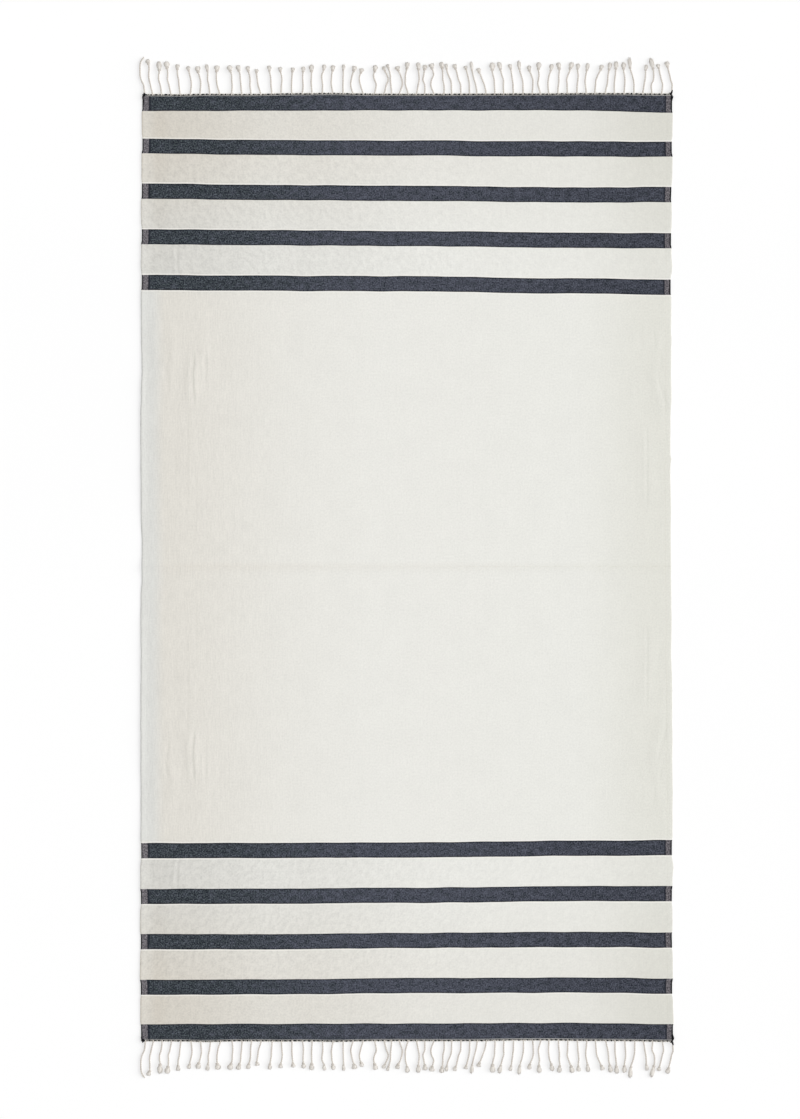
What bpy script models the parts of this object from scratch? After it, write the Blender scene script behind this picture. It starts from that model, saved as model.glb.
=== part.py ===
"""A flat-woven beach towel with knotted fringes, laid out flat.

Metres, +Z up. The towel lies on z = 0 with its centre over the origin, its width along X and its
length along Y. The two ends are alike: the lower one is the upper one, mirrored.
"""

import math
from typing import NamedTuple

import bmesh
import bpy

# Driving dimensions.
WIDTH = 1.000  # between the selvedges, at the middle
LENGTH = 1.786  # between the outer sides of the two edge rows
THICKNESS = 0.0015
EDGE_ROW = 0.004  # width of the whipped strip that the fringe grows out of
GAP = 0.0003  # between the cloth and each edge row

# The stripes, counted inwards from each end. The outermost reaches the edge row.
STRIPES = 5
STRIPE_PITCH = 0.0850
STRIPE_WIDTH = 0.0278
END_STRIPE_WIDTH = 0.0315  # edge row included

# The fringe. Its strands' places are read by eye off the photograph, in its pixels.
PIXEL = 0.001887  # the width of cloth that one takes in
MIDDLE_X, MIDDLE_Y = 406.0, 566.9  # the towel's centre
STRAND_WIDTH = 0.0030
STRAND_HEIGHT = 0.0026
# A knot and its frayed tuft as a bud: the share of its length, the share of its width, and the height.
BUD = ((0.30, 0.72, 0.0056), (0.72, 1.00, 0.0042), (1.00, 0.60, 0.0020))

# The cloth's grid: its columns and rows are no further apart than this.
PUCKER_COLUMN, PLAIN_COLUMN = 0.0088, 0.070
FOLD_ROW, PUCKER_ROW = 0.006, 0.028
LEFT_PUCKERS_END, RIGHT_PUCKERS_START = -0.360, 0.425
PUCKERS_END = 0.505  # half the length of the stretch with puckers at the sides
MM = 0.001

CREAM = (235, 234, 229)
NAVY = (70, 75, 85)
ECRU = (214, 208, 200)


class EdgePoint(NamedTuple):
    """How far each selvedge stands out past half the width, in millimetres, at one height."""

    y: float
    left: float
    right: float


SELVEDGES = (
    EdgePoint(y=-0.893, left=0.9, right=3.4),
    EdgePoint(y=-0.650, left=1.8, right=1.2),
    EdgePoint(y=-0.455, left=1.0, right=1.2),
    EdgePoint(y=-0.250, left=1.4, right=0.6),
    EdgePoint(y=0.010, left=-0.8, right=-1.1),
    EdgePoint(y=0.220, left=1.1, right=-2.4),
    EdgePoint(y=0.450, left=0.6, right=-0.8),
    EdgePoint(y=0.685, left=0.2, right=0.6),
    EdgePoint(y=0.893, left=-1.2, right=2.4),
)


class Crease(NamedTuple):
    """A soft ridge in the upper half of the cloth; the lower half has its mirror image."""

    x: float
    y: float
    half_width: float
    half_length: float
    height: float
    turn: float  # degrees, from along Y towards +X


CREASES = (
    Crease(x=-0.404, y=0.365, half_width=0.016, half_length=0.090, height=0.0032, turn=4),
    Crease(x=-0.439, y=0.410, half_width=0.017, half_length=0.090, height=0.0026, turn=-3),
    Crease(x=-0.474, y=0.375, half_width=0.016, half_length=0.125, height=0.0022, turn=2),
    Crease(x=-0.382, y=0.420, half_width=0.015, half_length=0.080, height=0.0018, turn=-5),
    Crease(x=-0.455, y=0.215, half_width=0.017, half_length=0.150, height=0.0014, turn=0),
    Crease(x=0.470, y=0.340, half_width=0.016, half_length=0.095, height=0.0028, turn=-9),
    Crease(x=0.476, y=0.430, half_width=0.016, half_length=0.070, height=0.0020, turn=7),
    Crease(x=0.462, y=0.160, half_width=0.015, half_length=0.075, height=0.0024, turn=-6),
    Crease(x=0.480, y=0.055, half_width=0.015, half_length=0.050, height=0.0016, turn=0),
)
# The towel's own fold across the middle, from having been stored folded in two.
FOLD_HALF_WIDTH = 0.018
FOLD_HEIGHT = 0.0012


class Strand(NamedTuple):
    """One strand of the upper fringe, read by eye off the photograph, in its pixels."""

    root: float  # x where it leaves the edge row
    low: float  # x at LOW_Y
    mid: float  # x at MID_Y
    high: float  # x at HIGH_Y
    neck: tuple  # x and y where its knot begins
    tip: tuple  # x and y of its end
    tuft: float  # width of its knot and frayed tuft; 0 at the corner, which has neither


LOW_Y, MID_Y, HIGH_Y = 85, 80, 75
STRANDS = (
    Strand(144.5, 143.4, 141.1, 140.2, (140.0, 68.0), (143.2, 57.5), 0),
    Strand(152.4, 150.3, 149.2, 148.7, (148.7, 65.0), (147.0, 59.3), 4.5),
    Strand(161.3, 160.2, 158.6, 158.6, (159.2, 71.7), (158.6, 61.0), 5.0),
    Strand(170.7, 169.0, 167.5, 167.5, (167.3, 69.3), (165.9, 61.2), 5.8),
    Strand(179.9, 179.0, 178.5, 177.6, (177.2, 70.3), (177.2, 64.2), 4.4),
    Strand(190.3, 191.2, 190.7, 189.5, (188.8, 71.5), (187.5, 66.1), 3.8),
    Strand(199.9, 200.6, 200.2, 198.9, (198.3, 73.2), (196.9, 66.1), 5.5),
    Strand(209.7, 208.6, 207.6, 207.5, (207.4, 71.7), (206.2, 64.2), 3.7),
    Strand(219.6, 217.0, 216.4, 216.3, (216.5, 72.5), (217.2, 65.3), 5.6),
    Strand(231.4, 232.2, 231.7, 231.3, (230.6, 72.3), (228.6, 65.3), 5.8),
    Strand(241.5, 240.8, 240.3, 239.8, (239.2, 72.0), (237.3, 65.2), 5.0),
    Strand(250.9, 249.8, 250.0, 249.4, (248.5, 72.0), (247.2, 66.0), 4.2),
    Strand(260.6, 258.0, 257.4, 256.6, (256.2, 73.6), (256.7, 69.2), 4.3),
    Strand(271.6, 270.9, 270.7, 270.2, (269.5, 72.0), (268.9, 65.4), 4.1),
    Strand(280.9, 281.3, 281.7, 281.1, (280.3, 72.0), (279.8, 66.9), 4.2),
    Strand(291.5, 291.2, 291.5, 292.0, (292.1, 72.6), (293.0, 67.5), 4.5),
    Strand(302.2, 303.0, 302.7, 302.4, (302.8, 72.8), (303.1, 66.6), 4.3),
    Strand(311.7, 311.2, 311.2, 311.3, (311.4, 72.5), (310.9, 64.5), 4.8),
    Strand(322.2, 322.2, 321.8, 321.8, (323.4, 70.9), (324.1, 64.4), 3.8),
    Strand(332.5, 331.0, 331.2, 331.6, (332.2, 71.9), (333.3, 65.1), 4.5),
    Strand(342.8, 342.8, 342.9, 343.1, (343.1, 71.0), (343.5, 64.1), 3.2),
    Strand(352.5, 350.5, 351.1, 352.2, (353.2, 71.9), (355.0, 65.9), 5.2),
    Strand(362.7, 360.3, 359.1, 359.7, (360.3, 73.6), (361.9, 68.2), 4.4),
    Strand(374.4, 376.0, 374.3, 373.5, (374.2, 72.0), (375.5, 65.0), 4.8),
    Strand(384.0, 386.1, 388.0, 386.8, (384.9, 71.6), (382.5, 66.4), 3.4),
    Strand(391.4, 390.7, 390.4, 390.2, (388.6, 69.0), (386.8, 64.3), 3.0),
    Strand(399.1, 402.0, 401.7, 400.2, (398.5, 71.6), (396.4, 66.2), 4.8),
    Strand(407.8, 405.4, 405.2, 405.4, (406.5, 69.5), (407.3, 62.0), 4.3),
    Strand(416.4, 418.1, 419.0, 418.9, (418.1, 70.4), (418.2, 62.3), 4.6),
    Strand(424.5, 424.4, 422.8, 423.6, (424.3, 70.7), (424.8, 64.7), 4.3),
    Strand(433.6, 430.6, 431.3, 433.5, (432.2, 69.6), (430.9, 63.5), 5.6),
    Strand(443.8, 443.9, 442.7, 442.5, (442.0, 69.2), (440.8, 62.0), 4.8),
    Strand(451.4, 451.1, 450.2, 448.1, (446.4, 69.8), (445.8, 63.6), 3.2),
    Strand(460.6, 460.3, 458.4, 457.2, (455.7, 69.5), (453.6, 64.1), 4.2),
    Strand(469.3, 469.1, 468.5, 467.4, (466.1, 70.1), (465.0, 65.9), 3.8),
    Strand(476.7, 475.5, 474.0, 472.7, (471.8, 71.0), (470.5, 61.3), 3.4),
    Strand(485.9, 484.1, 482.2, 480.1, (479.1, 73.2), (477.8, 68.0), 4.2),
    Strand(494.6, 494.3, 494.0, 492.8, (492.0, 71.3), (491.9, 62.3), 5.6),
    Strand(503.4, 503.0, 503.2, 501.7, (500.5, 70.6), (498.6, 61.6), 4.2),
    Strand(513.0, 512.8, 512.1, 511.4, (510.6, 70.0), (509.2, 64.0), 4.0),
    Strand(522.8, 522.8, 522.2, 520.7, (519.3, 70.0), (518.3, 60.4), 3.9),
    Strand(531.9, 532.7, 532.5, 531.0, (529.4, 71.6), (528.2, 65.5), 4.2),
    Strand(540.2, 537.9, 538.3, 538.8, (538.3, 70.4), (539.0, 62.0), 4.8),
    Strand(548.1, 547.8, 548.1, 549.1, (550.3, 71.6), (551.8, 63.8), 4.0),
    Strand(557.6, 558.2, 558.6, 558.8, (559.0, 70.0), (558.2, 62.3), 4.5),
    Strand(567.0, 566.9, 566.6, 568.0, (569.9, 69.8), (572.0, 62.0), 4.8),
    Strand(576.5, 577.1, 577.7, 577.9, (577.4, 69.8), (578.3, 63.4), 4.0),
    Strand(586.0, 585.2, 585.0, 585.6, (586.5, 71.2), (587.8, 62.9), 4.0),
    Strand(594.5, 595.3, 595.9, 597.8, (599.9, 70.6), (602.1, 64.8), 4.5),
    Strand(604.8, 606.8, 607.6, 607.9, (608.6, 70.6), (609.9, 62.2), 4.2),
    Strand(614.0, 614.1, 614.5, 615.0, (615.4, 70.0), (616.1, 61.2), 4.5),
    Strand(623.8, 624.6, 624.8, 624.1, (623.1, 70.0), (623.3, 62.0), 4.2),
    Strand(633.7, 633.7, 633.2, 631.9, (629.9, 69.0), (629.1, 57.1), 4.0),
    Strand(642.4, 643.9, 644.8, 645.1, (645.2, 71.2), (646.2, 64.4), 3.7),
    Strand(651.5, 651.1, 653.1, 653.6, (653.0, 70.0), (650.0, 57.5), 4.4),
    Strand(661.3, 662.2, 661.1, 660.1, (658.5, 69.0), (657.2, 64.0), 3.8),
    Strand(671.2, 672.0, 670.5, 669.3, (667.6, 68.2), (666.1, 61.3), 4.6),
)


class Section(NamedTuple):
    """A strand's cross-section: its place on the surface and its size."""

    x: float
    y: float
    width: float
    height: float


def blend(low, high, share):
    return low + (high - low) * share


def smoothed(share):
    """A soft step from 0 to 1."""
    return 0.5 - 0.5 * math.cos(math.pi * share)


def selvedge(y, side):
    """The X of the left (side -1) or right (side +1) selvedge at one height."""
    points = SELVEDGES
    for low, high in zip(points, points[1:]):
        if y <= high.y:
            break
    share = smoothed(min(max((y - low.y) / (high.y - low.y), 0.0), 1.0))
    column = "left" if side < 0 else "right"
    out = blend(getattr(low, column), getattr(high, column), share)
    return side * (WIDTH / 2 + out * MM)


def hump(share):
    """1 in the middle, easing to 0 at a share of 1 either way."""
    return math.cos(math.pi / 2 * share) ** 2 if abs(share) < 1 else 0.0


def crease_lift(crease, x, y):
    turn = math.radians(crease.turn)
    dx, dy = x - crease.x, y - crease.y
    across = dx * math.cos(turn) - dy * math.sin(turn)
    along = dx * math.sin(turn) + dy * math.cos(turn)
    return crease.height * hump(across / crease.half_width) * hump(along / crease.half_length)


def lift(x, y):
    """How far the cloth's underside is off the surface."""
    puckers = sum(crease_lift(crease, x, abs(y)) for crease in CREASES)
    return puckers + FOLD_HEIGHT * hump(y / FOLD_HALF_WIDTH)


def stations(*marks_and_steps):
    """Places from the first mark to the last, evenly between marks: mark, step, mark, step, mark."""
    places = [marks_and_steps[0]]
    for step, mark in zip(marks_and_steps[1::2], marks_and_steps[2::2]):
        start = places[-1]
        count = max(1, math.ceil((mark - start) / step - 1e-6))
        places += [blend(start, mark, (i + 1) / count) for i in range(count)]
    return places


def stripe_borders():
    """The lower and upper side of each stripe in the upper half, from the middle outwards."""
    end = LENGTH / 2
    lower = [end - END_STRIPE_WIDTH - i * STRIPE_PITCH for i in reversed(range(STRIPES))]
    return [(y, y + STRIPE_WIDTH) for y in lower[:-1]] + [(lower[-1], end)]


def row_places():
    """The Y of each row of the cloth's grid: close at the fold and the puckers, then at the stripes."""
    upper = stations(0.0, FOLD_ROW, FOLD_HALF_WIDTH, PUCKER_ROW, PUCKERS_END)
    upper += [border for stripe in stripe_borders() for border in stripe]
    upper[-1] -= EDGE_ROW + GAP
    return [-y for y in reversed(upper[1:])] + upper


def column_shares():
    """Each column's place between the selvedges, from 0 to 1: close at the puckers."""
    half = WIDTH / 2
    left = stations(-half, PUCKER_COLUMN, LEFT_PUCKERS_END, PLAIN_COLUMN, RIGHT_PUCKERS_START)
    right = stations(RIGHT_PUCKERS_START, PUCKER_COLUMN, half)
    return [(x + half) / WIDTH for x in left + right[1:]]


def in_stripe(y):
    return any(low < abs(y) < high for low, high in stripe_borders())


def linear(colour):
    """A colour's 0 to 255 screen values as the linear ones that a shader takes."""
    return [((c / 255 + 0.055) / 1.055) ** 2.4 for c in colour]


def cotton(name, colour):
    material = bpy.data.materials.new(name)
    material.use_nodes = True
    shader = material.node_tree.nodes["Principled BSDF"]
    shader.inputs["Base Color"].default_value = (*linear(colour), 1.0)
    shader.inputs["Roughness"].default_value = 0.9
    shader.inputs["Metallic"].default_value = 0.0
    material.diffuse_color = (*linear(colour), 1.0)
    return material


def add_object(name, mesh, *materials):
    for material in materials:
        mesh.materials.append(material)
    part = bpy.data.objects.new(name, mesh)
    bpy.context.collection.objects.link(part)
    return part


def make_cloth():
    """The woven panel: its underside as a grid of quads, thickened upwards."""
    rows, shares = row_places(), column_shares()
    points = []
    for y in rows:
        left, right = selvedge(y, -1), selvedge(y, 1)
        for share in shares:
            x = blend(left, right, share)
            points.append((x, y, lift(x, y)))
    wide = len(shares)
    quads = []
    in_navy = []
    for row, (low, high) in enumerate(zip(rows, rows[1:])):
        for column in range(wide - 1):
            i = row * wide + column
            quads.append((i, i + 1, i + 1 + wide, i + wide))
            in_navy.append(in_stripe((low + high) / 2))
    mesh = bpy.data.meshes.new("towel_cloth")
    mesh.from_pydata(points, [], quads)
    cloth = add_object("towel_cloth", mesh, cotton("cream_cotton", CREAM), cotton("navy_stripe", NAVY))
    mesh.polygons.foreach_set("material_index", [int(navy) for navy in in_navy])
    thicken = cloth.modifiers.new("thickness", "SOLIDIFY")
    thicken.thickness = THICKNESS
    thicken.offset = 1.0


def on_surface(pixel_x, pixel_y):
    """The X and Y of a place in the photograph."""
    return (pixel_x - MIDDLE_X) * PIXEL, (MIDDLE_Y - pixel_y) * PIXEL


def strand_sections(strand):
    """A strand's sections past its root: plain, then a bud of the knot and its frayed tuft."""
    spots = ((strand.low, LOW_Y), (strand.mid, MID_Y), (strand.high, HIGH_Y), strand.neck)
    plain = [Section(*on_surface(*spot), STRAND_WIDTH, STRAND_HEIGHT) for spot in spots]
    if not strand.tuft:
        return plain + [Section(*on_surface(*strand.tip), STRAND_WIDTH, STRAND_HEIGHT)]
    bud = []
    for share, wide, height in BUD:
        spot = [blend(near, far, share) for near, far in zip(strand.neck, strand.tip)]
        bud.append(Section(*on_surface(*spot), wide * strand.tuft * PIXEL, height))
    return plain + bud


def ring_at(mesh, section, before, after):
    """Four corners square to the strand, on the surface: low left, low right, high right, high left."""
    along_x, along_y = after.x - before.x, after.y - before.y
    scale = section.width / 2 / math.hypot(along_x, along_y)
    side_x, side_y = along_y * scale, -along_x * scale
    left, right = (section.x - side_x, section.y - side_y), (section.x + side_x, section.y + side_y)
    return [
        mesh.verts.new((*left, 0.0)),
        mesh.verts.new((*right, 0.0)),
        mesh.verts.new((*right, section.height)),
        mesh.verts.new((*left, section.height)),
    ]


def join_rings(mesh, ring, following):
    for i in range(4):
        j = (i + 1) % 4
        mesh.faces.new((ring[i], ring[j], following[j], following[i]))


def grow_strand(mesh, strand, root_ring, root):
    """Extrudes a strand out of the edge row, from the four corners of its root."""
    ring = root_ring
    sections = [root] + strand_sections(strand)
    for i, section in enumerate(sections[1:], start=1):
        following = ring_at(mesh, section, sections[i - 1], sections[min(i + 1, len(sections) - 1)])
        join_rings(mesh, ring, following)
        ring = following
    mesh.faces.new(ring)


def edge_row_section(mesh, x, inner_y, outer_y):
    """Four corners across the edge row: outer low, outer high, inner high, inner low."""
    return [
        mesh.verts.new((x, outer_y, 0.0)),
        mesh.verts.new((x, outer_y, THICKNESS)),
        mesh.verts.new((x, inner_y, THICKNESS)),
        mesh.verts.new((x, inner_y, 0.0)),
    ]


def make_fringe(name, mirror):
    """An end's edge row with its strands, fused: a strip whose outer side opens into each strand."""
    outer_y = LENGTH / 2
    inner_y = outer_y - EDGE_ROW
    half = STRAND_WIDTH / 2
    roots = [Section(on_surface(strand.root, 0)[0], outer_y, STRAND_WIDTH, THICKNESS) for strand in STRANDS]
    places = [selvedge(mirror * outer_y, -1)]
    for root in roots:
        places += [root.x - half, root.x + half]
    places.append(selvedge(mirror * outer_y, 1))

    mesh = bmesh.new()
    row = [edge_row_section(mesh, x, inner_y, outer_y) for x in places]
    for i, (near, far) in enumerate(zip(row, row[1:])):
        for a, b in ((1, 2), (2, 3), (3, 0)):
            mesh.faces.new((near[a], near[b], far[b], far[a]))
        if i % 2:
            grow_strand(mesh, STRANDS[i // 2], [near[0], far[0], far[1], near[1]], roots[i // 2])
        else:
            mesh.faces.new((near[0], near[1], far[1], far[0]))
    mesh.faces.new(row[0])
    mesh.faces.new(row[-1])
    for vertex in mesh.verts:
        vertex.co.y *= mirror
    bmesh.ops.recalc_face_normals(mesh, faces=mesh.faces)
    data = bpy.data.meshes.new(name)
    mesh.to_mesh(data)
    mesh.free()
    add_object(name, data, cotton(name + "_cotton", ECRU))


def main():
    for old in list(bpy.data.objects):
        bpy.data.objects.remove(old)
    make_cloth()
    make_fringe("fringe_top", mirror=1)
    make_fringe("fringe_bottom", mirror=-1)


main()
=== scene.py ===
"""The looks of the beach towel: its woven cloth, whipped ends and knotted fringe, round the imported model.

Metres, +Z up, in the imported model's frame. The towel lies on z = 0, its width along X and its length
along Y. What is given for the upper half holds, mirrored, for the lower one too, unless both are given.
"""

import random
from math import ceil, cos, pi, radians, sin, sqrt
from typing import NamedTuple

import bpy
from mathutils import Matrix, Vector, noise


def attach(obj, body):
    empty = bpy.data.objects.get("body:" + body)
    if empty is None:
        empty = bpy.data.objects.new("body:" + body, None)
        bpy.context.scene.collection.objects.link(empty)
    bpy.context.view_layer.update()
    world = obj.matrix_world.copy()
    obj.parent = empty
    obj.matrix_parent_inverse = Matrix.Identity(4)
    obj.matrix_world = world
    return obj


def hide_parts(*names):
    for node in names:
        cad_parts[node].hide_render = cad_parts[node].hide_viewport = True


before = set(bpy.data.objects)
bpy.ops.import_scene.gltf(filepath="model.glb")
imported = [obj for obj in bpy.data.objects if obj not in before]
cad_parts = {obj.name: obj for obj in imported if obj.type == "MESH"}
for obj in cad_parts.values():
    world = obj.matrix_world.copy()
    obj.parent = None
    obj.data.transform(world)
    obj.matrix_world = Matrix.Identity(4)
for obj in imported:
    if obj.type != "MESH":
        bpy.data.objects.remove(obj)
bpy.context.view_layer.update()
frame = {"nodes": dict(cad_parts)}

MM = 0.001
SEED = 11
PIXEL = 0.001887  # the width of cloth that one pixel of the photograph takes in
MIDDLE_X, MIDDLE_Y = 406.0, 566.9  # the towel's centre in the photograph

# The layout: the CAD source's, but with a narrower edge row, and the stripes up to 2 mm off theirs there.
WIDTH = 1.000
LENGTH = 1.786
THICKNESS = 0.0015
EDGE_ROW = 0.0034
GAP = 0.0003  # between the cloth and the edge row
STRIPES = 5
STRIPE_PITCH = 0.0853
STRIPE_WIDTH = 0.0287
END_STRIPE_WIDTH = 0.0320
END = LENGTH / 2
LAST_START = END - END_STRIPE_WIDTH  # how far from the middle the outermost stripe begins
STRIPES_START = LAST_START - (STRIPES - 1) * STRIPE_PITCH  # and the innermost one
FOLD_HALF_WIDTH = 0.018
FOLD_HEIGHT = 0.0012

# Colours, as screen values from 0 to 255.
BLACK = (0, 0, 0)
CREAM = (243, 243, 238)
# The cream's colours under painted shade in the panel: warm, cool at the far left, and at the right.
CREAM_PAINTED_SHADE = (222, 216, 205)
CREAM_PAINTED_SHADE_COOL = (214, 215, 212)
CREAM_PAINTED_SHADE_RIGHT = (223, 222, 210)
CREAM_BAND = (239, 238, 232)
# The cream's colours under painted shade in the bands, and at their right.
CREAM_BAND_PAINTED_SHADE = (216, 210, 199)
CREAM_BAND_PAINTED_SHADE_RIGHT = (220, 219, 209)
CREAM_LIGHT = (243, 241, 235)
NAVY = (97, 101, 114)
NAVY_GREENISH = (88, 102, 100)
NAVY_DARK = (26, 29, 39)
NAVY_SPECK = (126, 130, 142)
BAND_DARK, BAND_LIGHT = (56, 53, 58), (150, 146, 151)
CORD_LIGHT, CORD_SHADE = (225, 220, 213), (187, 179, 169)
TUFT_LIGHT, TUFT_SHADE = (240, 236, 230), (210, 204, 196)
WHIP_LIGHT, WHIP_SHADE = (244, 241, 232), (208, 202, 190)
ROW_LIGHT, ROW_DARK = (156, 153, 148), (90, 90, 90)
THREAD, THREAD_LIGHT = (9, 9, 13), (27, 28, 35)
FLOOR_LIGHT, FLOOR_SHADE = (246, 246, 246), (244, 244, 244)


def table(kind, *rows):
    """Rows of numbers as named tuples of one kind."""
    return [kind(*row) for row in rows]


class EdgePoint(NamedTuple):
    """How far each selvedge stands out past half the width, in millimetres, at one height."""

    y: float
    left: float
    right: float


SELVEDGES = table(
    EdgePoint,
    (-0.893, 1.6, 5.5), (-0.780, 1.7, 3.4), (-0.650, 1.8, 3.2), (-0.455, 0.5, 3.4), (-0.250, 1.1, 2.6),
    (-0.155, 0.6, 0.9), (-0.058, 0.8, 1.3), (-0.022, -1.7, 0.6), (0.045, -1.7, 0.2), (0.080, 0, 0.2),
    (0.220, 1.2, -0.9), (0.262, 1.3, -0.8), (0.330, 0.2, 0.9), (0.376, -1.9, 0.8), (0.418, -0.2, 0.8),
    (0.500, 0.2, 0.9), (0.685, 0, 1.8), (0.780, -1.5, 2.8), (0.893, -0.8, 3.8),
)


class Crease(NamedTuple):
    """A soft ridge in the upper half of the cloth; the lower half has its mirror image."""

    x: float
    y: float
    half_width: float
    half_length: float
    height: float
    turn: float  # degrees, from along Y towards +X


CREASES = table(
    Crease,
    (-0.404, 0.365, 0.016, 0.090, 0.0032, 4), (-0.439, 0.410, 0.017, 0.090, 0.0026, -3),
    (-0.474, 0.375, 0.016, 0.125, 0.0022, 2), (-0.382, 0.420, 0.015, 0.080, 0.0018, -5),
    (-0.455, 0.215, 0.017, 0.150, 0.0014, 0), (0.470, 0.340, 0.016, 0.095, 0.0028, -9),
    (0.476, 0.430, 0.016, 0.070, 0.0020, 7), (0.462, 0.160, 0.015, 0.075, 0.0024, -6),
    (0.480, 0.055, 0.015, 0.050, 0.0016, 0),
)
CREASE_GAIN = 0.16  # the share of those heights that the cloth takes on


class FineCrease(NamedTuple):
    """A thin groove in the upper half, along places read off the photograph, in its pixels."""

    depth: float  # all three in millimetres; the other two are the widths of its left and its right side
    gentle: float
    steep: float
    places: tuple


FINE_CREASES = table(
    FineCrease,
    (0.90, 7, 3.4, ((177, 246), (178.5, 276))),
    (0.24, 9, 3.6, ((160.2, 309.5), (163, 327), (165.9, 343.7))),
    (0.50, 9, 4.2, ((171.6, 348.8), (168.4, 359), (165.2, 370), (167.8, 380), (168.4, 395.7))),
    (1.15, 11, 4.4, ((193.9, 354), (193.5, 364), (192.2, 374), (192.7, 384), (194.3, 402.5))),
    (0.48, 9, 4, ((207, 347.5), (205.8, 364), (206.4, 374), (203.9, 382))),
    (0.22, 8, 3.4, ((180.4, 342.7), (180.4, 360))),
    (0.20, 8, 3, ((187.2, 402), (188, 440), (187.4, 467))),
    (0.17, 8, 3, ((176.5, 452), (175.8, 480), (177, 512))),
    (0.16, 8, 3, ((196, 470), (196.8, 500), (195.6, 540))),
    (0.30, 7, 2.8, ((653.6, 329), (655.6, 349))),
    (0.34, 7, 2.8, ((658.4, 351), (660.7, 358.7), (662.4, 368.4))),
    (0.50, 7, 2.9, ((657.4, 373), (659.7, 384), (663.4, 394), (665.8, 403), (666.6, 413))),
    (0.16, 5, 2.6, ((666.4, 414), (665.6, 430), (665.8, 448))),
    (0.15, 8, 3.2, ((626.7, 368), (635.6, 384))),
    (0.15, 8, 3.2, ((625.5, 386), (628.6, 402.7))),
    (0.36, 7, 2.8, ((647, 427), (647.2, 460), (647, 508))),
    (0.42, 6, 2.8, ((661.8, 481), (660, 486.6), (655.6, 490.5))),
)
SWELL = 0.024  # how far to either side the cloth swells up round a groove


class Strand(NamedTuple):
    """One strand of the upper fringe, read off the photograph, in its pixels."""

    root: float  # x where it leaves the edge row
    low: float  # x at LOW_Y
    mid: float  # x at MID_Y
    high: float  # x at HIGH_Y
    neck: tuple  # x and y where its knot begins
    tip: tuple  # x and y of its end
    tuft: float  # width of its knot and frayed tuft; 0 at the corner, which has neither


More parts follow.
